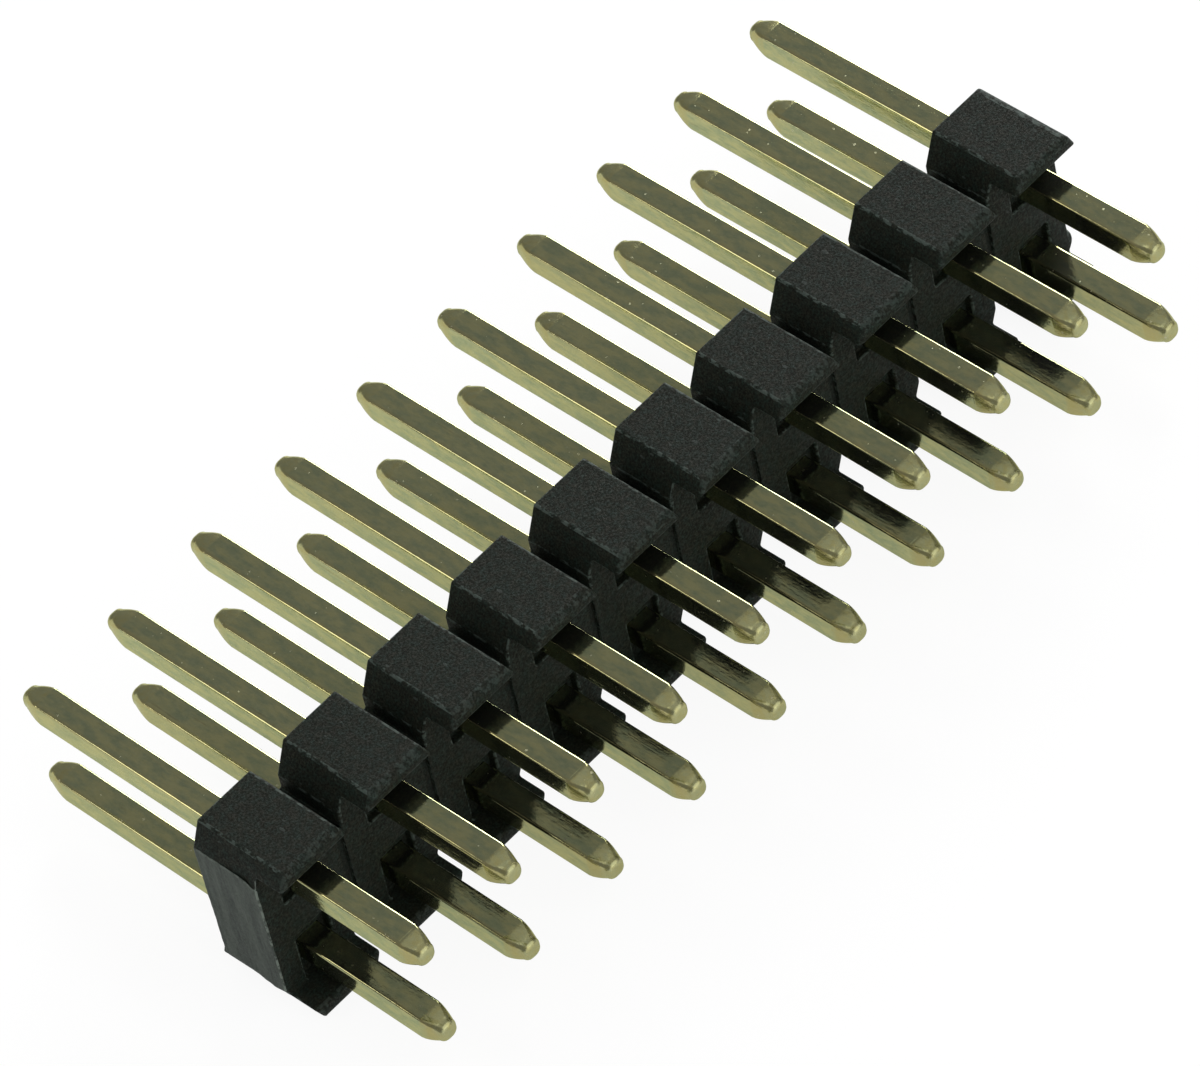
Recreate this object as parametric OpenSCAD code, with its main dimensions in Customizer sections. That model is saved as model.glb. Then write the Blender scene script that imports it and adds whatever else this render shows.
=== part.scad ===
// Straight pin header strip: two rows of square pins pressed into one moulded
// housing that was snapped off a longer strip. It is drawn lying on its side.
// X runs along the strip, +Y points the way the long mating ends of the pins
// point, -Y is the board side with the short solder tails, and Z = 0 is the
// surface under the housing. The origin is at the middle of the pins' length.

/* [Layout] */
// Pin positions along the strip
positions = 10; // [2:1:20]
// Spacing of the positions along the strip
pitch = 2.54; // [2.5:0.01:2.8]
// Spacing between the two rows of pins
row_pitch = 2.54; // [2.3:0.01:2.7]

/* [Housing] */
// Thickness of the housing along the pins, feet included
body_depth = 2.54; // [2.2:0.02:5.0]
// Height of the housing across the two rows
body_height = 4.8; // [4.6:0.05:6.0]
// Distance from the last pin's axis to the snapped end of the housing
end_margin = 1.08; // [0.9:0.01:1.2]
// Width of a break notch where it opens at the outside of the housing
notch_mouth = 1.0; // [0.6:0.02:1.1]
// Depth of the sloped sides of a break notch
notch_depth = 0.8; // [0.4:0.02:0.9]
// Width of the narrow slot that goes on below the sloped sides
slot_width = 0.25; // [0.1:0.01:0.35]
// Depth of that slot
slot_depth = 0.4; // [0.1:0.05:0.6]
// Depth of the channel between the feet on the board side
channel_depth = 0.78; // [0.3:0.02:1.2]
// Thickness of the feet that stand on the board
foot_thickness = 0.43; // [0.25:0.01:0.6]
// Width of the break groove that crosses the channel's floor between two positions
groove_width = 0.2; // [0.1:0.02:0.3]
// Depth of that break groove
groove_depth = 0.12; // [0.06:0.02:0.4]
// Depth of the pocket round each pin in the channel's floor
pocket_depth = 0.2; // [0.1:0.02:0.4]
// Width of that pocket along the strip
pocket_width = 0.92; // [0.8:0.02:1.2]
// How far that pocket reaches from the pin's axis towards the other row
pocket_reach = 0.72; // [0.6:0.02:1.0]

/* [Pins] */
// Width across the flats of a square pin
pin_width = 0.64; // [0.5:0.01:0.75]
// Leg of the small bevel along the pin's four edges
pin_bevel = 0.06; // [0.02:0.01:0.12]
// Length of a pin beyond the mating face
mating_length = 6.0; // [3.0:0.1:15.0]
// Length of a pin beyond the feet
tail_length = 3.05; // [2.0:0.05:6.0]
// Length of the coined tip at each end of a pin
tip_length = 0.55; // [0.3:0.05:0.9]
// How far the middle of a tip's taper bulges past a straight taper
tip_bulge = 0.02; // [0:0.005:0.03]
// Length of the blunt nose at the end of a tip
nose_length = 0.1; // [0.03:0.01:0.2]
// Width of a tip where its taper meets the nose
nose_width = 0.46; // [0.36:0.02:0.48]
// Width of the flat at the very end of a tip
end_width = 0.32; // [0.1:0.02:0.34]

/* [Fit] */
// Gap between a pin's flats and its hole, 0 for the press fit
pin_gap = 0; // [0:0.01:0.05]
// Size of the bevelled lead-in round each hole in the mating face
lead_in = 0.12; // [0.05:0.01:0.25]

/* [Hidden] */
ROWS = ["lower", "upper"];

// How far a cutting shape reaches past the face that it cuts
past = 0.5;
body_length = (positions - 1) * pitch + 2 * end_margin;
pin_length = tail_length + body_depth + mating_length;
board_face = tail_length - pin_length / 2;
channel_floor = board_face + channel_depth;
mating_face = board_face + body_depth;
hole_width = pin_width + 2 * pin_gap;

function pin_name(row, n) = str(row, "_pin_", n);
function pin_x(n) = (n - (positions + 1) / 2) * pitch;
function row_z(row) = (body_height + (row == "upper" ? row_pitch : -row_pitch)) / 2;
function flipped(points, x, y) = [for (p = points) [x * p[0], y * p[1]]];
function reversed(points) = [for (i = [len(points) - 1 : -1 : 0]) points[i]];

// Lays an outline drawn in X and Z so that it is extruded from y = back to y = front
module extrude_along_y(back, front) {
    translate([0, front, 0])
        rotate([90, 0, 0])
            linear_extrude(front - back)
                children();
}

// A four-sided shape on the Y axis whose outline, drawn in X and Y, is the same seen from
// above and seen from the side, such as a square funnel or a coined pin
module four_sided(half_height) {
    intersection() {
        translate([0, 0, -half_height])
            linear_extrude(2 * half_height)
                children();
        rotate([0, 90, 0])
            translate([0, 0, -half_height])
                linear_extrude(2 * half_height)
                    children();
    }
}

// A break notch in the bottom edge of the outline, centred on x = 0: two steep slopes that
// lead into a slot with parallel walls
module notch_outline() {
    right_side = [
        [notch_mouth / 2, -past],
        [notch_mouth / 2, 0],
        [slot_width / 2, notch_depth],
        [slot_width / 2, notch_depth + slot_depth]
    ];
    polygon(concat(right_side, reversed(flipped(right_side, -1, 1))));
}

// The strip seen from its mating side. A notch lies between every two positions, and half
// of one is left at each end, where the strip was snapped off
module strip_outline() {
    difference() {
        translate([-body_length / 2, 0])
            square([body_length, body_height]);
        for (n = [0 : positions])
            translate([pin_x(n + 0.5), 0]) {
                notch_outline();
                translate([0, body_height])
                    mirror([0, 1])
                        notch_outline();
            }
    }
}

// The channel along the board side. It leaves one foot at each side of every position and
// lets flux and washing water out under the strip
module channel() {
    translate([-body_length / 2 - past, board_face - past, foot_thickness])
        cube([body_length + 2 * past, channel_depth + past, body_height - 2 * foot_thickness]);
}

// A shallow break groove across the channel's floor, from the slot of one side to the slot of
// the other, where the web is meant to snap. It is centred on x = 0
module break_groove() {
    translate([-groove_width / 2, channel_floor - past, -past])
        cube([groove_width, groove_depth + past, body_height + 2 * past]);
}

// The shallow pocket round the lower pin of a position, from the inside of its foot to a
// little past the pin, where the moulding pin of the hole was seated
module pocket() {
    translate([-pocket_width / 2, channel_floor - past, foot_thickness])
        cube([pocket_width, pocket_depth + past, row_z("lower") + pocket_reach - foot_thickness]);
}

// The same pocket at the lower and at the upper pin
module pockets() {
    pocket();
    translate([0, 0, body_height])
        mirror([0, 0, 1])
            pocket();
}

// The square hole for one pin, with its lead-in at the mating face, centred on the axis
module pin_hole() {
    extrude_along_y(board_face - past, mating_face + past)
        square(hole_width, center = true);
    mouth = hole_width / 2 + lead_in;
    four_sided(mouth)
        polygon([
            [-hole_width / 2, mating_face - lead_in],
            [hole_width / 2, mating_face - lead_in],
            [mouth, mating_face],
            [mouth, mating_face + past],
            [-mouth, mating_face + past],
            [-mouth, mating_face]
        ]);
}

// The moulded housing in one piece
module housing() {
    color("#1d2021")
        difference() {
            extrude_along_y(board_face, mating_face)
                strip_outline();
            channel();
            for (n = [0 : positions])
                translate([pin_x(n + 0.5), 0, 0])
                    break_groove();
            for (n = [1 : positions])
                translate([pin_x(n), 0, 0])
                    pockets();
            for (row = ROWS, n = [1 : positions])
                translate([pin_x(n), 0, row_z(row)])
                    pin_hole();
        }
}

// The drawn square wire of a pin, with its bevelled edges
module wire_outline() {
    flat = pin_width / 2 - pin_bevel;
    intersection() {
        square(pin_width, center = true);
        rotate(45)
            square((pin_width / 2 + flat) * sqrt(2), center = true);
    }
}

// A pin seen across its flats, drawn in X and Y. Both ends are coined alike: a long taper
// that starts at a crease and bulges a little, then a short blunt nose
module pin_outline() {
    end = pin_length / 2;
    steps = [
        [pin_width / 2, end - tip_length],
        [(pin_width + nose_width) / 4 + tip_bulge, end - (tip_length + nose_length) / 2],
        [nose_width / 2, end - nose_length],
        [end_width / 2, end]
    ];
    polygon(concat(
        steps,
        reversed(flipped(steps, -1, 1)),
        flipped(steps, -1, -1),
        reversed(flipped(steps, 1, -1))
    ));
}

// A pin on its own axis
module pin() {
    color("#b9ae84")
        intersection() {
            extrude_along_y(-pin_length / 2 - past, pin_length / 2 + past)
                wire_outline();
            four_sided(pin_width)
                pin_outline();
        }
}

housing();
for (row = ROWS, n = [1 : positions])
    translate([pin_x(n), 0, row_z(row)]) pin();
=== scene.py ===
# %% [markdown]
# A double-row pin header strip, lying on its side on a white table.
#
# The strip is one black moulding with twenty square pins pressed through it. This notebook
# dresses the plain CAD solids: it makes the same pieces again with soft edges, coined tips and
# snapped ends, and gives each surface a procedural finish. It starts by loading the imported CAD
# model, because every size below is read from that frame or is a named value beside it.

# %% Load the frame
import math
import bmesh
import bpy
from mathutils import Matrix, Vector, noise


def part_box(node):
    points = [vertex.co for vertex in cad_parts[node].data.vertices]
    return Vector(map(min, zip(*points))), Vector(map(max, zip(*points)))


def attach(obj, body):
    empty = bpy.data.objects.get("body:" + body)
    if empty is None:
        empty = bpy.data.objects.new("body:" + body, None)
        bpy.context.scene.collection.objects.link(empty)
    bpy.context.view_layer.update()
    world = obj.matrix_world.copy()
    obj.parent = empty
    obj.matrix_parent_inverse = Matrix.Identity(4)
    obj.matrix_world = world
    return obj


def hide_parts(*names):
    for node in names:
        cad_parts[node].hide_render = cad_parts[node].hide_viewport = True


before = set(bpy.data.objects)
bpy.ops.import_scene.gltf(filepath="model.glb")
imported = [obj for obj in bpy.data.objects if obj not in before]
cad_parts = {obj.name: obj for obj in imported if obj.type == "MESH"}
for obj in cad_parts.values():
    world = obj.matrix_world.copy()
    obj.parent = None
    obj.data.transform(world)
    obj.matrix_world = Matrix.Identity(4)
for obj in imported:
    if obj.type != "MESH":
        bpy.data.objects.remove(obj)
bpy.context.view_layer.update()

print("CAD nodes:", len(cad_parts))

# %% [markdown]
# The pieces are modelled in millimetres and turned into metres at the very end. The parts of a
# header are so small that sizes in metres would be long strings of zeros, and a solver that cuts
# one mesh with another works more surely on numbers near one.

# %% Sizes read from the frame
MM = 0.001


def box_mm(name):
    """The lowest and the highest corner of a CAD node in millimetres."""
    low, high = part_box(name)
    return Vector(low) / MM, Vector(high) / MM


POSITIONS = sum(name.startswith("upper_pin_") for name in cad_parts)
PIN_NAMES = [f"{row}_pin_{n + 1}" for row in ("lower", "upper") for n in range(POSITIONS)]
HOUSING_LOW, HOUSING_HIGH = box_mm("housing")
LOWER_LOW, LOWER_HIGH = box_mm("lower_pin_1")
UPPER_LOW, UPPER_HIGH = box_mm("upper_pin_1")
NEXT_LOW, NEXT_HIGH = box_mm("upper_pin_2")
PITCH = NEXT_LOW.x - UPPER_LOW.x
ROW_PITCH = UPPER_LOW.z - LOWER_LOW.z
PIN_WIDTH = UPPER_HIGH.x - UPPER_LOW.x
PIN_END = UPPER_HIGH.y
HEIGHT = HOUSING_HIGH.z
MIDDLE_Z = HEIGHT / 2
BOARD_FACE = HOUSING_LOW.y
MATING_FACE = HOUSING_HIGH.y
print(f"{POSITIONS} positions at {PITCH:.2f} mm, rows {ROW_PITCH:.2f} mm apart, pins {PIN_WIDTH:.2f} mm")

# %% Sizes of the moulding's details
NOTCH_MOUTH = 1.0
NOTCH_DEPTH = 0.8
SLOT_WIDTH = 0.25
SLOT_DEPTH = 0.4
CHANNEL_DEPTH = 0.78
FOOT_THICKNESS = 0.43
GROOVE_WIDTH = 0.2
GROOVE_DEPTH = 0.12
POCKET_WIDTH = 0.92
POCKET_DEPTH = 0.2
POCKET_REACH = 0.72
LEAD_IN = 0.12
CHANNEL_FLOOR = BOARD_FACE + CHANNEL_DEPTH
PAST = 0.5

# %% [markdown]
# Almost every shape here is a loft: the same outline again and again at different places, joined
# by quads and closed at both ends. One helper makes them all. It takes its rings as lists of
# points, so a pin, a square hole with a funnel mouth and a notched prism are only other rings.

# %% Lofts and plain objects
def object_from(name, mesh):
    """A new object for the mesh, in the scene."""
    made = bpy.data.objects.new(name, mesh)
    bpy.context.scene.collection.objects.link(made)
    return made


def loft(name, rings):
    """A closed mesh through rings of equally many points, capped at its first and last ring."""
    mesh = bpy.data.meshes.new(name)
    bm = bmesh.new()
    made = [[bm.verts.new(point) for point in ring] for ring in rings]
    for near, far in zip(made, made[1:]):
        for i in range(len(near)):
            j = (i + 1) % len(near)
            bm.faces.new([near[i], near[j], far[j], far[i]])
    bm.faces.new(made[0])
    bm.faces.new(made[-1])
    bmesh.ops.recalc_face_normals(bm, faces=bm.faces)
    bm.to_mesh(mesh)
    bm.free()
    return object_from(name, mesh)


def prism(name, outline, back, front):
    """An outline in X and Z, run along Y."""
    return loft(name, [[(x, y, z) for x, z in outline] for y in (back, front)])


def rectangle(x0, x1, z0, z1):
    """The corners of a rectangle in X and Z."""
    return [(x0, z0), (x1, z0), (x1, z1), (x0, z1)]


def plain_mesh(made):
    """The mesh of an object with all its modifiers worked in."""
    depsgraph = bpy.context.evaluated_depsgraph_get()
    return bpy.data.meshes.new_from_object(made.evaluated_get(depsgraph))


def settle(made):
    """Works an object's modifiers into its mesh and takes them off."""
    made.data = plain_mesh(made)
    made.modifiers.clear()


def cut(body, *cutters):
    """Takes the cutters out of the body, one after the other, and removes them."""
    for cutter in cutters:
        modifier = body.modifiers.new("cut", "BOOLEAN")
        modifier.operation = "DIFFERENCE"
        modifier.solver = "EXACT"
        modifier.object = cutter
        settle(body)
        bpy.data.objects.remove(cutter)


# %% [markdown]
# A Geometry Nodes tree is built in the script, socket by socket. The two trees in this notebook
# are small, so three helpers are enough: one declares a tree with named inputs, one adds a node
# and fills its inputs by name, and one puts a tree on an object. A modifier keeps its inputs under
# the sockets' identifiers, and a tree's own inputs are looked up by their names for that.

# %% Node helpers
def node(tree, kind, inputs=None, **settings):
    """Adds a node. An input that is given as a socket is linked, and anything else is its value."""
    made = tree.nodes.new(kind)
    for key, value in settings.items():
        setattr(made, key, value)
    for key, value in (inputs or {}).items():
        if isinstance(value, bpy.types.NodeSocket):
            tree.links.new(value, made.inputs[key])
        else:
            made.inputs[key].default_value = value
    return made


def calculate(tree, operation, *values):
    """The result of a Math node."""
    return node(tree, "ShaderNodeMath", dict(enumerate(values)), operation=operation).outputs[0]


def declare_sockets(tree, direction, sockets):
    """Gives a node group its inputs or outputs, as pairs of a name and a kind of socket."""
    for name, kind in sockets.items():
        tree.interface.new_socket(name, in_out=direction, socket_type="NodeSocket" + kind)


def geometry_tree(name, inputs):
    """A Geometry Nodes tree with a geometry going in and out. Returns it with its group input."""
    tree = bpy.data.node_groups.new(name, "GeometryNodeTree")
    declare_sockets(tree, "INPUT", {"Geometry": "Geometry", **inputs})
    declare_sockets(tree, "OUTPUT", {"Geometry": "Geometry"})
    return tree, tree.nodes.new("NodeGroupInput")


def run_tree(made, tree, values):
    """Runs a tree on an object with these inputs, works the result in and takes the tree off."""
    modifier = made.modifiers.new(tree.name, "NODES")
    modifier.node_group = tree
    for item in tree.interface.items_tree:
        if item.name in values:
            modifier[item.identifier] = values[item.name]
    settle(made)


def finish_tree(tree, instances, material, weld=None):
    """Ends a tree: the instances become real, are welded if a distance is given, and get a finish."""
    real = node(tree, "GeometryNodeRealizeInstances", {"Geometry": instances}).outputs[0]
    if weld is not None:
        real = node(tree, "GeometryNodeMergeByDistance", {"Geometry": real, "Distance": weld}).outputs[0]
    dressed = node(tree, "GeometryNodeSetMaterial", {"Geometry": real, "Material": material})
    node(tree, "NodeGroupOutput", {"Geometry": dressed.outputs[0]})


# %% [markdown]
# The finishes come next, because a tree ends by handing out a material. Both the plastic and the
# plating are read at a scale of tenths of a millimetre, so one node turns Object coordinates into
# millimetres, and the groups take that vector. The groups only make masks and heights. Each
# material keeps its own shader and decides what those masks mean on it.

# %% Colours and coordinates
def srgb(red, green, blue):
    """A colour as it is read off a screen, from 0 to 255, in the linear values Blender takes."""
    parts = [value / 255 for value in (red, green, blue)]
    return [p / 12.92 if p <= 0.04045 else ((p + 0.055) / 1.055) ** 2.4 for p in parts] + [1]


def millimetres(tree):
    """Object coordinates in millimetres."""
    place = tree.nodes.new("ShaderNodeTexCoord").outputs["Object"]
    return node(tree, "ShaderNodeMapping", {"Vector": place, "Scale": [1 / MM] * 3}).outputs[0]


def stretched(tree, vector, scale):
    """The vector with another scale along each axis."""
    return node(tree, "ShaderNodeMapping", {"Vector": vector, "Scale": scale}).outputs[0]


def cloud(tree, vector, scale, detail=3.0, roughness=0.6):
    """Soft noise from 0 to 1 around 0.5."""
    inputs = {"Vector": vector, "Scale": scale, "Detail": detail, "Roughness": roughness}
    return node(tree, "ShaderNodeTexNoise", inputs).outputs["Fac"]


def between(tree, value, low, high, start=0.0, end=1.0):
    """Takes the value from low..high to start..end and stops at both ends."""
    inputs = {"Value": value, "From Min": low, "From Max": high, "To Min": start, "To Max": end}
    return node(tree, "ShaderNodeMapRange", inputs).outputs[0]


def blend_colours(tree, factor, first, second):
    """A mix of two colours, each a colour or a socket."""
    made = node(tree, "ShaderNodeMix", {0: factor, 6: first, 7: second}, data_type="RGBA")
    return made.outputs[2]


def shader_group(name, inputs, outputs):
    """A shader node group. Returns it with its group input and group output."""
    tree = bpy.data.node_groups.new(name, "ShaderNodeTree")
    declare_sockets(tree, "INPUT", inputs)
    declare_sockets(tree, "OUTPUT", outputs)
    return tree, tree.nodes.new("NodeGroupInput"), tree.nodes.new("NodeGroupOutput")


def use_group(tree, group, **inputs):
    """Places a group in a material with its own values. An underscore stands for a space."""
    named = {name.replace("_", " "): value for name, value in inputs.items()}
    return node(tree, "ShaderNodeGroup", named, node_tree=group).outputs


# %% [markdown]
# Three effects are shared. Specks are the tiny pale grains of dust and glass fibre on the plastic
# and of dirt on the gold: a Voronoi pattern gives each cell its own random colour, and only the few
# cells above a threshold show. The edge mask is broken up by noise, so that an edge is pale in places
# and sound in others; on the moulded plastic that paleness is partly wear and partly a painted
# highlight, the sheen a rounded edge catches. Draw lines are what a die leaves along a wire, or a
# breaking web along a snapped face: noise that is squeezed across the lines and stretched along them.

# %% Shared effects
SPECKS, given, result = shader_group(
    "specks", {"Vector": "Vector", "Scale": "Float", "Share": "Float"}, {"Mask": "Float"}
)
cells = node(
    SPECKS, "ShaderNodeTexVoronoi", {"Vector": given.outputs["Vector"], "Scale": given.outputs["Scale"]}
)
lot = node(SPECKS, "ShaderNodeSeparateColor", {"Color": cells.outputs["Color"]}).outputs[0]
picked = calculate(SPECKS, "LESS_THAN", lot, given.outputs["Share"])
grain_size = calculate(SPECKS, "MULTIPLY", 0.45, node(
    SPECKS, "ShaderNodeSeparateColor", {"Color": cells.outputs["Color"]}).outputs[1])
inside = calculate(SPECKS, "LESS_THAN", cells.outputs["Distance"], grain_size)
SPECKS.links.new(calculate(SPECKS, "MULTIPLY", picked, inside), result.inputs["Mask"])

WEAR_AND_SHEEN, given, result = shader_group(
    "edge_wear_and_sheen", {"Vector": "Vector", "Edge": "Float", "Scale": "Float", "Amount": "Float"}, {"Mask": "Float"}
)
patches = cloud(WEAR_AND_SHEEN, given.outputs["Vector"], given.outputs["Scale"], 4.0)
limit = calculate(WEAR_AND_SHEEN, "SUBTRACT", 0.75, calculate(WEAR_AND_SHEEN, "MULTIPLY", given.outputs["Amount"], 0.5))
shown = between(WEAR_AND_SHEEN, patches, limit, calculate(WEAR_AND_SHEEN, "ADD", limit, 0.08))
WEAR_AND_SHEEN.links.new(calculate(WEAR_AND_SHEEN, "MULTIPLY", shown, given.outputs["Edge"]), result.inputs["Mask"])

LINES, given, result = shader_group(
    "draw_lines", {"Vector": "Vector", "Scale": "Float", "Share": "Float"}, {"Height": "Float", "Mask": "Float"}
)
streaks = cloud(LINES, given.outputs["Vector"], given.outputs["Scale"], 4.0, 0.7)
LINES.links.new(streaks, result.inputs["Height"])
top = calculate(LINES, "SUBTRACT", 0.8, calculate(LINES, "MULTIPLY", given.outputs["Share"], 0.5))
LINES.links.new(between(LINES, streaks, top, calculate(LINES, "ADD", top, 0.05)), result.inputs["Mask"])
print("shader groups:", SPECKS.name, WEAR_AND_SHEEN.name, LINES.name)


# %% [markdown]
# The housing is a nylon filled with short glass fibres. It isn't an even black: the skin is
# mottled from blue-green to warm grey, because fibres lie just under it, and it has a satin sheen.
# Colour comes from two noises of different size, then a few pale specks, then the pale edges,
# which read the mesh's own worn_and_sheen_edge attribute; they are partly wear and partly a painted
# highlight along the rounded edges. Height comes from the finer noise.

# %% Moulded plastic
def material(name):
    """A new node material. Returns it with its tree and its Principled BSDF."""
    made = bpy.data.materials.new(name)
    made.use_nodes = True
    return made, made.node_tree, made.node_tree.nodes["Principled BSDF"]


def raise_surface(tree, shader, height, strength, depth_mm):
    """Feeds a height into the shader's normal through a Bump node."""
    inputs = {"Height": height, "Strength": strength, "Distance": depth_mm * MM}
    tree.links.new(node(tree, "ShaderNodeBump", inputs).outputs[0], shader.inputs["Normal"])


def edge_attribute(tree):
    """The worn_and_sheen_edge attribute of the mesh: 1 on its rounded edges, which are painted pale for wear and for
    their highlight.
    """
    return node(tree, "ShaderNodeAttribute", attribute_name="worn_and_sheen_edge").outputs["Fac"]


HOUSING_PLASTIC, tree, shader = material("black_glass_filled_nylon")
here = millimetres(tree)
coarse = between(tree, cloud(tree, here, 1.7, 2.0), 0.3, 0.7)
tint = between(tree, cloud(tree, here, 6.0, 2.0), 0.38, 0.62)
fine = between(tree, cloud(tree, here, 19.0, 3.0, 0.8), 0.4, 0.84)
dark = blend_colours(tree, coarse, srgb(26, 26, 22), srgb(25, 28, 24))
pale = blend_colours(tree, tint, srgb(49, 52, 41), srgb(38, 57, 49))
skin = blend_colours(tree, fine, dark, pale)
fibres = use_group(tree, SPECKS, Vector=stretched(tree, here, [1.0, 0.45, 1.0]), Scale=11.0, Share=0.05)
skin = blend_colours(tree, calculate(tree, "MULTIPLY", fibres["Mask"], 0.3), skin, srgb(82, 90, 86))
# Pale edges: partly wear, partly a painted highlight that stands for the sheen along the flats' rounded edges.
along_pins = stretched(tree, here, [1.0, 0.5, 1.0])
worn_and_sheen = use_group(tree, WEAR_AND_SHEEN, Vector=along_pins, Edge=edge_attribute(tree), Scale=10.0, Amount=0.55)
skin = blend_colours(tree, calculate(tree, "MULTIPLY", worn_and_sheen["Mask"], 0.5), skin, srgb(92, 104, 98))
tree.links.new(skin, shader.inputs["Base Color"])
tree.links.new(between(tree, fine, 0.0, 1.0, 0.66, 0.46), shader.inputs["Roughness"])
tree.links.new(between(tree, fine, 0.0, 1.0, 0.05, 0.22), shader.inputs["Specular IOR Level"])
raise_surface(tree, shader, calculate(tree, "ADD", fine, calculate(tree, "MULTIPLY", coarse, 0.5)), 0.6, 0.01)

# %% [markdown]
# The two ends were snapped from a longer strip. A broken face of this plastic is paler, rougher
# and streaked in the direction the break ran, from one row to the other.

# %% Snapped plastic
SNAPPED_PLASTIC, tree, shader = material("snapped_nylon")
here = millimetres(tree)
along_break = stretched(tree, here, [1.0, 3.2, 0.35])
streaks = use_group(tree, LINES, Vector=along_break, Scale=2.2, Share=0.35)
grain = cloud(tree, here, 16.0, 3.0, 0.8)
tone = between(tree, calculate(tree, "ADD", streaks["Height"], grain), 0.74, 1.26)
skin = blend_colours(tree, tone, srgb(40, 47, 43), srgb(82, 90, 82))
dust = use_group(tree, SPECKS, Vector=here, Scale=9.0, Share=0.08)
skin = blend_colours(tree, calculate(tree, "MULTIPLY", dust["Mask"], 0.35), skin, srgb(120, 128, 122))
worn_and_sheen = use_group(tree, WEAR_AND_SHEEN, Vector=here, Edge=edge_attribute(tree), Scale=7.0, Amount=0.6)
skin = blend_colours(tree, calculate(tree, "MULTIPLY", worn_and_sheen["Mask"], 0.8), skin, srgb(118, 128, 119))
tree.links.new(skin, shader.inputs["Base Color"])
shader.inputs["Roughness"].default_value = 0.7
shader.inputs["Specular IOR Level"].default_value = 0.28
raise_surface(tree, shader, calculate(tree, "ADD", streaks["Height"], grain), 0.5, 0.015)

# %% [markdown]
# The pins are drawn brass wire with a thin flash of gold. From far off that is one pale
# khaki metal. Close up it has fine lengthwise draw lines, a few darker scratches, dull specks, and
# paler, rougher tips, where the coining tool pressed the metal after it was drawn. An amber band
# along one long edge of every pin is a painted highlight, the bright line that edge reflects.

# %% Gold flash
TIP_LENGTH = 0.55

GOLD_FLASH, tree, shader = material("gold_flashed_wire")
here = millimetres(tree)
x, y, z = node(tree, "ShaderNodeSeparateXYZ", {"Vector": here}).outputs
reach = calculate(tree, "ABSOLUTE", y)
tip = between(tree, reach, PIN_END - TIP_LENGTH - 0.02, PIN_END - TIP_LENGTH + 0.03)
drawn = use_group(tree, LINES, Vector=stretched(tree, here, [1.0, 0.05, 1.0]), Scale=9.0, Share=0.32)
clouds = between(tree, cloud(tree, stretched(tree, here, [1.0, 0.35, 1.0]), 5.0), 0.38, 0.62)
metal = blend_colours(tree, clouds, [0.28, 0.325, 0.18, 1], [0.44, 0.43, 0.20, 1])
metal = blend_colours(tree, calculate(tree, "MULTIPLY", drawn["Mask"], 0.5), metal, [0.20, 0.17, 0.07, 1])
grain = between(tree, cloud(tree, stretched(tree, here, [1.0, 0.5, 1.0]), 11.0, 4.0, 0.8), 0.3, 0.7)
metal = blend_colours(tree, calculate(tree, "MULTIPLY", grain, 0.4), metal, [0.55, 0.55, 0.31, 1])
metal = blend_colours(tree, calculate(tree, "MULTIPLY", tip, 0.7), metal, [0.41, 0.405, 0.205, 1])
# Painted highlight: an amber band along one long edge of each pin, standing for the bright line that edge reflects.
columns = calculate(tree, "ADD", calculate(tree, "DIVIDE", x, PITCH), POSITIONS % 2 / 2)
off_centre = calculate(tree, "SUBTRACT", 0.5, calculate(tree, "FRACT", columns))
off_centre = calculate(tree, "MULTIPLY", off_centre, PITCH / PIN_WIDTH)
edge = calculate(
    tree, "MULTIPLY", between(tree, off_centre, 0.33, 0.43), between(tree, off_centre, 0.497, 0.475))
metal = blend_colours(tree, calculate(tree, "MULTIPLY", edge, 0.35), metal, [0.46, 0.35, 0.12, 1])
patches = between(tree, cloud(tree, here, 7.0, 3.0), 0.42, 0.66)
metal = blend_colours(
    tree, calculate(tree, "MULTIPLY", calculate(tree, "MULTIPLY", patches, tip), 0.5), metal, [0.42, 0.37, 0.13, 1])
dirt = use_group(tree, SPECKS, Vector=here, Scale=13.0, Share=0.03)
metal = blend_colours(tree, calculate(tree, "MULTIPLY", dirt["Mask"], 0.4), metal, [0.62, 0.60, 0.45, 1])
tree.links.new(metal, shader.inputs["Base Color"])
shader.inputs["Metallic"].default_value = 1
shader.inputs["Coat Weight"].default_value = 0.25
shader.inputs["Coat Roughness"].default_value = 0.7
shader.inputs["Specular Tint"].default_value = [0.85, 0.88, 0.68, 1]
polish = between(tree, drawn["Height"], 0.3, 0.7, 0.06, 0.12)
nose = between(tree, reach, PIN_END - 0.16, PIN_END - 0.08)
dull = calculate(tree, "ADD", polish, calculate(tree, "MULTIPLY", tip, 0.1))
dull = calculate(tree, "ADD", dull, calculate(tree, "MULTIPLY", nose, 0.1))
tree.links.new(calculate(tree, "ADD", dull, calculate(tree, "MULTIPLY", dirt["Mask"], 0.2)), shader.inputs["Roughness"])
dents = calculate(tree, "MULTIPLY", cloud(tree, stretched(tree, here, [1.0, 0.6, 1.0]), 9.0, 2.0), 0.8)
dents = calculate(tree, "MULTIPLY", dents, calculate(tree, "ADD", 1.0, calculate(tree, "MULTIPLY", tip, 2.0)))
raise_surface(tree, shader, calculate(tree, "ADD", drawn["Height"], dents), 0.6, 0.004)
print("materials:", HOUSING_PLASTIC.name, SNAPPED_PLASTIC.name, GOLD_FLASH.name)

# %% [markdown]
# One position of the housing is modelled, and the strip is that position again and again, just
# as the mould was cut. It starts as an octagon prism as wide as the pitch. The channel, the
# grooves, the pockets and the two pin holes are cut out of it. Boolean cuts suit a moulding,
# because each stands for a piece of the mould that kept the plastic out.

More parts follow.
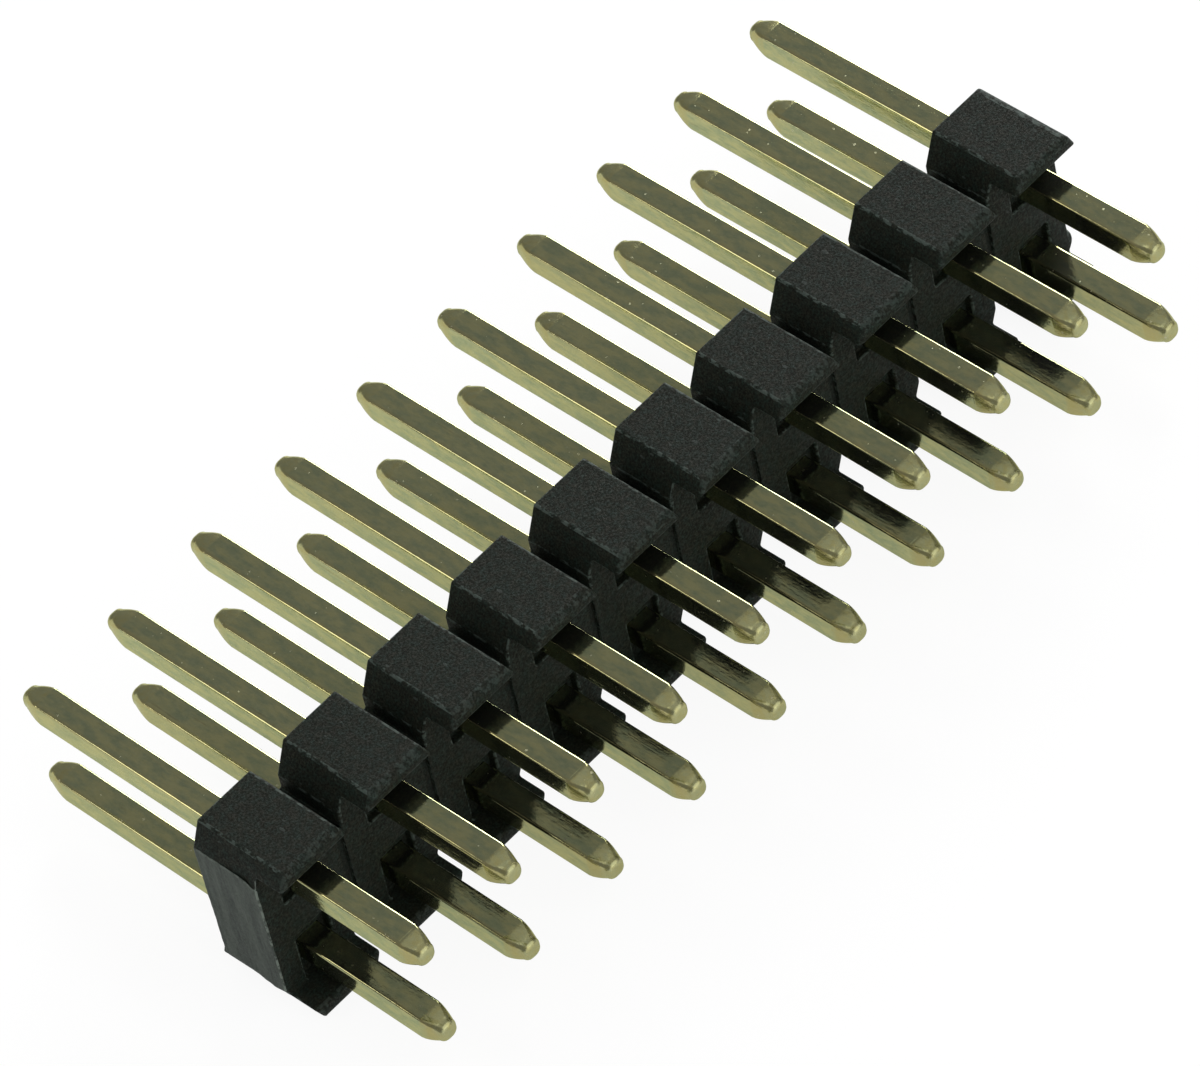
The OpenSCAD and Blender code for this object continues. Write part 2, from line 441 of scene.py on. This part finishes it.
# %% One position of the housing
def cell_outline():
    """The octagon of one position in X and Z, whose slopes are the halves of two break notches."""
    edge = PITCH / 2
    bottom = NOTCH_DEPTH + SLOT_DEPTH
    slot = [(-edge, bottom), (-edge + SLOT_WIDTH / 2, bottom), (-edge + SLOT_WIDTH / 2, NOTCH_DEPTH)]
    corners = slot + [(-edge + NOTCH_MOUTH / 2, 0)]
    lower = corners + [(-x, z) for x, z in reversed(corners)]
    return lower + [(x, HEIGHT - z) for x, z in reversed(lower)]


def hole_cutter(name, z):
    """A square hole for a pin, with the funnel of its lead-in in the mating face."""
    half = PIN_WIDTH / 2
    steps = [(BOARD_FACE - PAST, half), (MATING_FACE - LEAD_IN, half), (MATING_FACE + LEAD_IN, half + 2 * LEAD_IN)]
    return loft(name, [[(x, y, z + dz) for x, dz in rectangle(-h, h, -h, h)] for y, h in steps])


def pocket_cutter(name, z, inner):
    """The shallow pocket round a pin. It ends at the foot, and inner says which way the other row is."""
    ends = sorted((z + inner * POCKET_REACH, MIDDLE_Z - inner * (MIDDLE_Z - FOOT_THICKNESS)))
    outline = rectangle(-POCKET_WIDTH / 2, POCKET_WIDTH / 2, *ends)
    return prism(name, outline, CHANNEL_FLOOR - PAST, CHANNEL_FLOOR + POCKET_DEPTH)


def groove_cutter(name, x):
    """The break groove across the channel's floor at a web."""
    outline = rectangle(x - GROOVE_WIDTH / 2, x + GROOVE_WIDTH / 2, -PAST, HEIGHT + PAST)
    return prism(name, outline, CHANNEL_FLOOR - PAST, CHANNEL_FLOOR + GROOVE_DEPTH)


housing = prism("moulded_housing", cell_outline(), BOARD_FACE, MATING_FACE)
channel = rectangle(-PITCH, PITCH, FOOT_THICKNESS, HEIGHT - FOOT_THICKNESS)
cut(housing, prism("channel", channel, BOARD_FACE - PAST, CHANNEL_FLOOR))
for side in (-1, 1):
    cut(housing, groove_cutter("groove", side * PITCH / 2))
    row_z = MIDDLE_Z + side * ROW_PITCH / 2
    cut(housing, pocket_cutter("pocket", row_z, -side), hole_cutter("hole", row_z))
print("one position:", len(housing.data.polygons), "faces")

# %% [markdown]
# The position is opened at its two webs and repeated by Geometry Nodes: a line of points at the
# pitch, an instance on each, and a weld where one web meets the next. The welded strip is then
# one skin, as the moulding is.

# %% Repeat the position along the strip
def remove_faces(made, chosen):
    """Deletes the faces that a test on their centre and normal picks."""
    bm = bmesh.new()
    bm.from_mesh(made.data)
    bad = [face for face in bm.faces if chosen(face)]
    bmesh.ops.delete(bm, geom=bad, context="FACES")
    bm.to_mesh(made.data)
    bm.free()


remove_faces(housing, lambda face: abs(face.calc_center_median().x) > PITCH / 2 - 1e-4)
tree, given = geometry_tree(
    "repeat_positions", {"Positions": "Int", "Pitch": "Float", "Weld": "Float", "Finish": "Material"}
)
reach = calculate(tree, "MULTIPLY", calculate(tree, "SUBTRACT", given.outputs["Positions"], 1.0), -0.5)
start = node(tree, "ShaderNodeCombineXYZ", {"X": calculate(tree, "MULTIPLY", reach, given.outputs["Pitch"])})
step = node(tree, "ShaderNodeCombineXYZ", {"X": given.outputs["Pitch"]})
row = node(tree, "GeometryNodeMeshLine", {
    "Count": given.outputs["Positions"], "Start Location": start.outputs[0], "Offset": step.outputs[0]})
strip = node(tree, "GeometryNodeInstanceOnPoints", {"Points": row.outputs[0], "Instance": given.outputs["Geometry"]})
finish_tree(tree, strip.outputs[0], given.outputs["Finish"], given.outputs["Weld"])
run_tree(housing, tree, {"Positions": POSITIONS, "Pitch": PITCH, "Weld": 0.002, "Finish": HOUSING_PLASTIC})
print("strip:", len(housing.data.polygons), "faces")

# %% [markdown]
# The outermost webs were snapped, so the strip is cut off square there and closed. Then the edges
# are rounded: first the inner ones, as small fillets, and then the outer ones, each by its place.
# The feet are soft where they meet the board, the flats' long edges are crisper. The second bevel
# marks its faces with a material number, from which the worn_and_sheen_edge attribute is made: the
# mask of edges that the plastic paints pale, partly as wear and partly as a painted highlight.

# %% Cut the ends and round the edges
WALL = HOUSING_HIGH.x
FILLET = 0.04
CRISP_EDGE = 0.035
SNAPPED_EDGE = 0.035
FLAT_EDGE = 0.05
FOOT_EDGE = 0.17
FOOT_CORNER = 0.1
GROOVE_EDGE = 0.08
FAR_CORNER = 0.12
FAR_FLAT_EDGE = 0.15
SHARP = math.radians(20)
NEAR = 1e-4


def close_end(bm, side):
    """Cuts the strip off at one end and closes it with one face."""
    opened = bmesh.ops.bisect_plane(
        bm, geom=bm.verts[:] + bm.edges[:] + bm.faces[:], plane_co=(WALL * side, 0, 0),
        plane_no=(side, 0, 0), clear_outer=True)
    rim = [edge for edge in opened["geom_cut"] if isinstance(edge, bmesh.types.BMEdge)]
    bmesh.ops.contextual_create(bm, geom=rim)


def lies_at(edge, axis, value):
    """Whether both ends of an edge have this value on an axis."""
    return all(abs(vert.co[axis] - value) < NEAR for vert in edge.verts)


def outer_radius(edge):
    """How round an outer edge is, which depends on where it lies."""
    on_flat = lies_at(edge, 2, 0.0) or lies_at(edge, 2, HEIGHT)
    if on_flat and lies_at(edge, 1, BOARD_FACE):
        return FOOT_EDGE
    if lies_at(edge, 1, BOARD_FACE):
        return FOOT_CORNER
    if on_flat:
        at_far_end = all(vert.co.x > WALL - PIN_WIDTH for vert in edge.verts)
        return FAR_FLAT_EDGE if at_far_end else FLAT_EDGE
    if lies_at(edge, 0, WALL):
        return FAR_CORNER
    if lies_at(edge, 0, -WALL):
        return SNAPPED_EDGE
    if lies_at(edge, 1, CHANNEL_FLOOR) and abs(edge.verts[0].co.x - edge.verts[1].co.x) < NEAR:
        return GROOVE_EDGE
    return CRISP_EDGE


def round_edges(made, chosen, radius, marker):
    """Bevels the sharp edges that chosen picks, each as wide as radius says."""
    bm = bmesh.new()
    bm.from_mesh(made.data)
    bmesh.ops.recalc_face_normals(bm, faces=bm.faces)
    weight = bm.edges.layers.float.new("bevel_weight_edge")
    for edge in bm.edges:
        sharp = edge.is_manifold and edge.calc_face_angle() > SHARP
        edge[weight] = radius(edge) / FOOT_EDGE if sharp and chosen(edge) else 0.0
    bm.to_mesh(made.data)
    bm.free()
    bevel = made.modifiers.new("rounding", "BEVEL")
    bevel.width = FOOT_EDGE
    bevel.segments = 3
    bevel.limit_method = "WEIGHT"
    bevel.use_clamp_overlap = False
    bevel.material = marker
    settle(made)
    made.data.attributes.remove(made.data.attributes["bevel_weight_edge"])


bm = bmesh.new()
bm.from_mesh(housing.data)
bmesh.ops.dissolve_limit(bm, angle_limit=math.radians(1), verts=bm.verts, edges=bm.edges)
for side in (-1, 1):
    close_end(bm, side)
bm.to_mesh(housing.data)
bm.free()
housing.data.materials.clear()
housing.data.materials.append(HOUSING_PLASTIC)
housing.data.materials.append(SNAPPED_PLASTIC)
round_edges(housing, lambda edge: not edge.is_convex, lambda edge: FILLET, -1)
round_edges(housing, lambda edge: edge.is_convex, outer_radius, 1)
print("rounded:", len(housing.data.polygons), "faces")

# %% [markdown]
# Each end face and its rim are split into a fine grid, whose points are pushed in and out by a
# noise that is drawn out along the break. It is real relief with a ragged border, because a torn
# edge is seen against the light. A few single marks go on top: a bite out of the near end's upper
# corner, and a burr at its lower one.

# %% Roughen the two snapped ends
SNAP_GRID = 0.07
SNAP_RIM = 0.06
SNAP_RELIEF = 0.016
SNAP_STREAK = Vector((1.0, 3.2, 0.8))
BITE = {"side": -1, "y": CHANNEL_FLOOR, "z": HEIGHT - 0.66, "size": 0.4, "push": (-0.02, 0.02, -0.17)}
BURR = {"side": -1, "y": MATING_FACE, "z": 0.62, "size": 0.22, "push": (0.02, 0.045, -0.03)}
WEB_REMAINS = {"side": -1, "y": -1.6, "z": 0.66, "size": 0.6, "push": (0.0, 0.0, -0.1)}
FAR_BURR = {"side": 1, "y": CHANNEL_FLOOR, "z": 0.72, "size": 0.38, "push": (0.12, 0.0, 0.0)}
FAR_HOLLOW = {"side": 1, "y": CHANNEL_FLOOR, "z": 3.1, "size": 0.9, "push": (-0.05, 0.0, 0.0)}


def end_faces(bm, side):
    """The faces at one end, rim included."""
    return [face for face in bm.faces if face.calc_center_median().x * side > WALL - SNAP_RIM]


def split_end(bm, side):
    """Splits the faces at one end by a grid of planes."""
    for axis, low, high in ((1, CHANNEL_FLOOR, MATING_FACE), (2, 0.0, HEIGHT)):
        for i in range(1, int((high - low) / SNAP_GRID)):
            place = Vector((0, 0, 0))
            place[axis] = low + i * SNAP_GRID
            faces = end_faces(bm, side)
            edges = {edge for face in faces for edge in face.edges}
            points = {vert for face in faces for vert in face.verts}
            normal = Vector((0, float(axis == 1), float(axis == 2)))
            bmesh.ops.bisect_plane(bm, geom=[*points, *edges, *faces], plane_co=place, plane_no=normal)


def tear_end(bm, side):
    """Pushes the points of one end in and out."""
    points = {vert for face in end_faces(bm, side) for vert in face.verts}
    for vert in points:
        torn = Vector([a * b for a, b in zip(vert.co, SNAP_STREAK)])
        push = noise.noise(torn * 2.0) + 0.5 * noise.noise(torn * 6.0)
        vert.co.x += side * SNAP_RELIEF * (push - 0.8)


def press_mark(bm, side, y, z, size, push):
    """Pushes the points round a place on an end, outwards and along Y and Z, less with distance."""
    for vert in bm.verts:
        away = math.hypot(vert.co.y - y, vert.co.z - z)
        if vert.co.x * side > WALL - 2 * SNAP_RIM and away < size:
            share = 0.5 + 0.5 * math.cos(math.pi * away / size)
            vert.co.x += side * push[0] * share
            vert.co.y += push[1] * share
            vert.co.z += push[2] * share


bm = bmesh.new()
bm.from_mesh(housing.data)
# The worn_and_sheen_edge mask marks the rounded edges, which are painted pale, partly as wear and partly as a painted
# highlight.
worn_and_sheen = bm.faces.layers.float.new("worn_and_sheen_edge")
for face in bm.faces:
    place = face.calc_center_median()
    at_end = abs(place.x) > WALL - SNAP_RIM
    soft = place.y < BOARD_FACE + FOOT_EDGE or (at_end and place.y > CHANNEL_FLOOR + SNAP_RIM)
    face[worn_and_sheen] = (0.4 if soft else 1.0) * (face.material_index == 1)
    face.material_index = int(at_end)
for side in (-1, 1):
    split_end(bm, side)
    tear_end(bm, side)
for mark in (BITE, BURR, WEB_REMAINS, FAR_BURR, FAR_HOLLOW):
    press_mark(bm, **mark)
bmesh.ops.remove_doubles(bm, verts=bm.verts, dist=NEAR)
bmesh.ops.triangulate(bm, faces=[face for face in bm.faces if len(face.verts) > 4])
bm.to_mesh(housing.data)
bm.free()
print("with snapped ends:", len(housing.data.polygons), "faces")

# %% [markdown]
# A pin is a square wire with rounded corners, seen as a row of rings along its length. Both ends
# are coined alike: a crease, a four-sided taper that bulges a little, then a blunt nose that is a
# quarter of an ellipse in outline. Towards the nose the corners grow rounder, so that the four
# facets melt into each other, as they do where the tool squeezed them.

# %% One pin
WIRE_ROUNDING = 0.06
CORNER_STEPS = 6
NOSE_LENGTH = 0.12
NOSE_HALF = 0.238
END_HALF = 0.12
NOSE_STEPS = 6
TAPER_STEPS = 7
TIP_BULGE = 0.012
NOSE_ROUNDNESS = 0.8
CREASE_SOFTNESS = 0.015


def square_ring(y, half, rounding):
    """A square with rounded corners round the Y axis."""
    points = []
    for quarter in range(4):
        for i in range(CORNER_STEPS + 1):
            angle = math.radians(90) * (quarter + i / CORNER_STEPS)
            centre = half - rounding
            turn = math.radians(45) + math.radians(90) * quarter
            x = centre * math.copysign(1, math.cos(turn)) + rounding * math.cos(angle)
            z = centre * math.copysign(1, math.sin(turn)) + rounding * math.sin(angle)
            points.append((x, y, z))
    return points


def tip_steps():
    """Distance from the end, half width and corner rounding along a tip, from the end inwards."""
    full = PIN_WIDTH / 2
    steps = []
    for i in range(NOSE_STEPS + 1):
        turn = math.radians(90) * i / NOSE_STEPS
        half = END_HALF + (NOSE_HALF - END_HALF) * math.sin(turn)
        steps.append((NOSE_LENGTH * (1 - math.cos(turn)), half, half * NOSE_ROUNDNESS))
    for i in range(1, TAPER_STEPS):
        part = i / TAPER_STEPS
        half = NOSE_HALF + (full - NOSE_HALF) * part + TIP_BULGE * math.sin(math.pi * part)
        rounding = NOSE_HALF * NOSE_ROUNDNESS * (1 - part) + WIRE_ROUNDING * part
        steps.append((NOSE_LENGTH + (TIP_LENGTH - NOSE_LENGTH) * part, half, rounding))
    steps.append((TIP_LENGTH, full - 0.3 * CREASE_SOFTNESS, WIRE_ROUNDING))
    steps.append((TIP_LENGTH + 2 * CREASE_SOFTNESS, full, WIRE_ROUNDING))
    return steps


steps = tip_steps()
outline = [(PIN_END - s, h, r) for s, h, r in steps] + [(s - PIN_END, h, r) for s, h, r in reversed(steps)]
pins = loft("contact_pins", [square_ring(*step) for step in outline])
print("one pin:", len(pins.data.polygons), "faces")

# %% [markdown]
# Geometry Nodes press all twenty pins: a grid of points, one for each hole, and a pin on each.
# No two real pins sit quite alike, so each is turned by a fraction of a degree and pushed in a few
# hundredths of a millimetre more or less. The seed is fixed, so that every run gives the same strip.

# %% Press the pins in
tree, given = geometry_tree("press_pins", {
    "Positions": "Int", "Pitch": "Float", "Row Pitch": "Float", "Height": "Float",
    "Lean": "Float", "Push": "Float", "Seed": "Int", "Finish": "Material"})
gaps = calculate(tree, "SUBTRACT", given.outputs["Positions"], 1.0)
grid = node(tree, "GeometryNodeMeshGrid", {
    "Size X": calculate(tree, "MULTIPLY", gaps, given.outputs["Pitch"]), "Size Y": given.outputs["Row Pitch"],
    "Vertices X": given.outputs["Positions"], "Vertices Y": 2})
upright = node(tree, "GeometryNodeTransform", {
    "Geometry": grid.outputs[0], "Rotation": [math.radians(90), 0, 0],
    "Translation": node(tree, "ShaderNodeCombineXYZ", {"Z": given.outputs["Height"]}).outputs[0]})


def random_vector(tree, size, seed):
    """A random vector for each point, as long as size at most along each axis."""
    made = node(tree, "FunctionNodeRandomValue", {"Seed": seed}, data_type="FLOAT_VECTOR")
    tree.links.new(size, made.inputs["Max"])
    low = node(tree, "ShaderNodeVectorMath", {0: size, 1: [-1, -1, -1]}, operation="MULTIPLY")
    tree.links.new(low.outputs[0], made.inputs["Min"])
    return made.outputs["Value"]


lean = node(tree, "ShaderNodeCombineXYZ", {
    "X": calculate(tree, "MULTIPLY", given.outputs["Lean"], 0.3), "Y": given.outputs["Lean"],
    "Z": calculate(tree, "MULTIPLY", given.outputs["Lean"], 0.3)})
push = node(tree, "ShaderNodeCombineXYZ", {"Y": given.outputs["Push"]})
turned = node(tree, "FunctionNodeEulerToRotation", {0: random_vector(tree, lean.outputs[0], given.outputs["Seed"])})
pressed = node(tree, "GeometryNodeInstanceOnPoints", {
    "Points": upright.outputs[0], "Instance": given.outputs["Geometry"], "Rotation": turned.outputs[0]})
seated = node(tree, "GeometryNodeTranslateInstances", {
    "Instances": pressed.outputs[0], "Translation": random_vector(tree, push.outputs[0], given.outputs["Seed"])})
finish_tree(tree, seated.outputs[0], given.outputs["Finish"])
run_tree(pins, tree, {
    "Positions": POSITIONS, "Pitch": PITCH, "Row Pitch": ROW_PITCH, "Height": MIDDLE_Z,
    "Lean": math.radians(0.5), "Push": 0.03, "Seed": 7, "Finish": GOLD_FLASH})
print("all pins:", len(pins.data.polygons), "faces")

# %% [markdown]
# Both meshes become metres, are shaded smooth and get weighted normals, which keep broad flats
# truly flat and let only the narrow rounded edges bend the light. Then each piece is tied to the
# frame: it rides on the one body, and its CAD nodes are hidden.

# %% Into metres, and onto the frame
def hand_over(piece, slot, *nodes):
    """Finishes a piece's mesh and ties it to the frame."""
    piece.data.name = piece.name
    piece.data.transform(Matrix.Scale(MM, 4))
    piece.data.shade_smooth()
    piece.modifiers.new("flat_faces", "WEIGHTED_NORMAL").keep_sharp = False
    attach(piece, "root")
    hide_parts(*nodes)


hand_over(housing, "housing", "housing")
hand_over(pins, "pin", *PIN_NAMES)

# %% [markdown]
# The strip is shown on a pure white table, with no horizon. The floor glows white for the camera
# and for reflections, but lights the strip only as white paper would, and a trace of its own
# shading stays, so the strip keeps a soft shadow. Its underside lets the camera look through.

# %% White table
FLOOR_SIZE = 2.0
SHADOW_SHARE = 0.12
MIRRORED_SHARE = 0.5
GLOW = 1.04

bpy.ops.mesh.primitive_plane_add(size=FLOOR_SIZE)
floor = bpy.context.object
floor.name = "white_table"
WHITE_TABLE, tree, shader = material("white_paper")
shader.inputs["Base Color"].default_value = [0.86, 0.86, 0.86, 1]
shader.inputs["Roughness"].default_value = 1
rays = tree.nodes.new("ShaderNodeLightPath").outputs
seen = calculate(tree, "MULTIPLY", rays["Is Camera Ray"], 1 - SHADOW_SHARE)
mirrored = calculate(tree, "MAXIMUM", rays["Is Glossy Ray"], rays["Is Transmission Ray"])
glowing = calculate(tree, "MAXIMUM", seen, calculate(tree, "MULTIPLY", mirrored, 1 - MIRRORED_SHARE))
glow = node(tree, "ShaderNodeEmission", {"Color": [1, 1, 1, 1], "Strength": GLOW})
white = node(tree, "ShaderNodeMixShader", {0: glowing, 1: shader.outputs[0], 2: glow.outputs[0]})
behind = calculate(tree, "MULTIPLY", rays["Is Camera Ray"], tree.nodes.new("ShaderNodeNewGeometry").outputs["Backfacing"])
clear = tree.nodes.new("ShaderNodeBsdfTransparent")
node(tree, "ShaderNodeMixShader", {0: behind, 1: white.outputs[0], 2: clear.outputs[0]})
tree.links.new(tree.nodes[-1].outputs[0], tree.nodes["Material Output"].inputs[0])
floor.data.materials.append(WHITE_TABLE)

# %% [markdown]
# Plated pins show the room more than themselves, so the room matters. It is white near the
# horizon, as a photographer's tent is, and a plain grey above, where its roof is. A broad lamp
# hangs over the strip on the camera's side, and a narrow one stands low behind it on the right,
# which draws the thin bright line along each pin's far edge.

# %% Room and lamps
WALL_WHITE = 0.8
ROOF_GREY = 0.26
WALL_TOP = 0.02
ROOF_EDGE = 0.14

world = bpy.data.worlds.new("tent")
bpy.context.scene.world = world
world.use_nodes = True
tree = world.node_tree
direction = tree.nodes.new("ShaderNodeTexCoord").outputs["Generated"]
upward = node(tree, "ShaderNodeSeparateXYZ", {"Vector": direction}).outputs[2]
brightness = between(tree, upward, WALL_TOP, ROOF_EDGE, WALL_WHITE, ROOF_GREY)
seen = calculate(tree, "MAXIMUM", tree.nodes.new("ShaderNodeLightPath").outputs["Is Camera Ray"], brightness)
tree.links.new(seen, tree.nodes["Background"].inputs["Strength"])
tree.nodes["Background"].inputs["Color"].default_value = [1, 1, 1, 1]


def lamp(name, direction, distance, width, height, brightness):
    """A soft rectangular lamp that faces the strip. Brightness 1 looks white in a mirror."""
    light = bpy.data.lights.new(name, "AREA")
    light.shape = "RECTANGLE"
    light.size = width
    light.size_y = height
    light.energy = brightness * math.pi * width * height
    made = bpy.data.objects.new(name, light)
    back = Vector(direction).normalized()
    made.matrix_world = Matrix.Translation(back * distance) @ back.to_track_quat("Z", "Y").to_matrix().to_4x4()
    bpy.context.scene.collection.objects.link(made)


lamp("overhead_softbox", (0.15, -0.35, 0.92), 0.5, 0.7, 0.7, 0.24)
lamp("key_softbox", (0.18, -0.62, 0.76), 0.45, 0.5, 0.5, 0.8)
lamp("front_fill", (-0.15, -0.93, 0.3), 0.5, 0.7, 0.4, 0.7)
lamp("right_edge_light", (0.79, 0.52, 0.31), 0.4, 0.14, 0.3, 11.0)
lamp("left_edge_light", (-0.62, 0.53, 0.58), 0.4, 0.12, 0.24, 2.6)

# %% [markdown]
# The camera was fitted to the corners of the housing and the ends of the pins. It looks down from
# the board side with a long lens, rolled so that the strip runs up to the right.

# %% Camera
CAMERA_AIM = Vector((-0.72, -0.46, 2.72)) * MM
CAMERA_DISTANCE = 170.9 * MM
CAMERA_AZIMUTH = math.radians(-37.23)
CAMERA_ELEVATION = math.radians(49.005)
CAMERA_ROLL = math.radians(-13.49)
CAMERA_LENS = 244.16

lens = bpy.data.cameras.new("camera")
lens.lens = CAMERA_LENS
lens.sensor_width = 36
lens.clip_start = 0.01
lens.clip_end = 5
camera = bpy.data.objects.new("camera", lens)
back = Vector((
    math.sin(CAMERA_AZIMUTH) * math.cos(CAMERA_ELEVATION),
    -math.cos(CAMERA_AZIMUTH) * math.cos(CAMERA_ELEVATION),
    math.sin(CAMERA_ELEVATION)))
turn = back.to_track_quat("Z", "Y").to_matrix() @ Matrix.Rotation(CAMERA_ROLL, 3, "Z")
camera.matrix_world = Matrix.Translation(CAMERA_AIM + back * CAMERA_DISTANCE) @ turn.to_4x4()
bpy.context.scene.collection.objects.link(camera)
bpy.context.scene.camera = camera
bpy.context.scene.view_settings.view_transform = "Standard"
